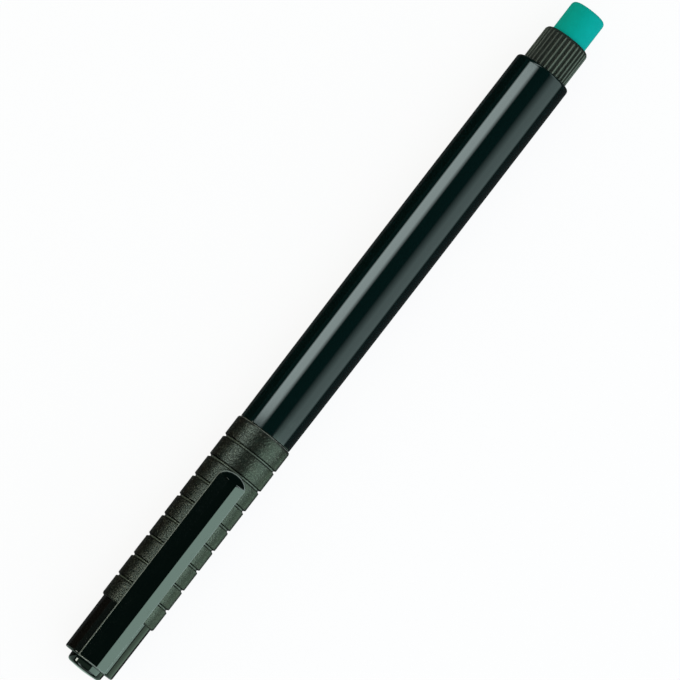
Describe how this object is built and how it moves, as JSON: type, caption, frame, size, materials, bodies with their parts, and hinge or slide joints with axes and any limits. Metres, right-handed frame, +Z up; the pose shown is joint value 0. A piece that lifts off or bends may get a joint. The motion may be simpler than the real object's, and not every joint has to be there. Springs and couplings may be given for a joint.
{
  "type": "pattern transfer pen",
  "caption": "Capped fibre-tip marking pen with a ribbed grip cap, bevelled pocket clip, long glossy barrel and an eraser in a serrated rear collar.",
  "frame": {"origin": "under the middle of the capped pen, on the surface that it lies on", "axes": "+X along the pen towards the eraser, +Z up through the clip, +Y across the pen"},
  "size_m": [0.1424, 0.0108, 0.013],
  "materials": {
    "gloss_cap_plastic": "polished moulded plastic, green-black",
    "matte_sleeve_plastic": "finely grained matte",
    "seal_plastic": "natural moulded plastic",
    "barrel_plastic": "polished blue-black",
    "section_plastic": "smooth",
    "holder_plastic": "smooth",
    "nib_fibre": "pressed fibre, stained with ink",
    "core_fibre": "bonded fibre soaked with ink",
    "film_plastic": "thin clear-white film",
    "collar_plastic": "satin moulded plastic",
    "eraser_rubber": "smooth dull rubber"
  },
  "bodies": {
    "pen_body": {"barrel": "barrel_plastic", "grip_section": "section_plastic", "nib_holder": "holder_plastic", "nib": "nib_fibre", "reservoir_core": "core_fibre", "reservoir_film": "film_plastic", "eraser_collar": "collar_plastic"},
    "cap": {"cap_body": "gloss_cap_plastic", "cap_grip_sleeve": "matte_sleeve_plastic", "cap_inner_seal": "seal_plastic", "cap_end_plug": "gloss_cap_plastic"},
    "clip": {"clip": "gloss_cap_plastic"},
    "eraser": {"eraser": "eraser_rubber"}
  },
  "joints": [
    {"name": "cap_pull", "type": "slide", "parent": "pen_body", "child": "cap", "axis": [-1, 0, 0], "range_m": [0, 0.045]},
    {"name": "clip_flex", "type": "hinge", "parent": "cap", "child": "clip", "pos_m": [-0.06903, 0, 0.01042], "axis": [0, -1, 0], "range_deg": [0, 3], "stiffness_Nm_per_rad": 3},
    {"name": "eraser_pull", "type": "slide", "parent": "pen_body", "child": "eraser", "axis": [1, 0, 0], "range_m": [0, 0.009]}
  ]
}
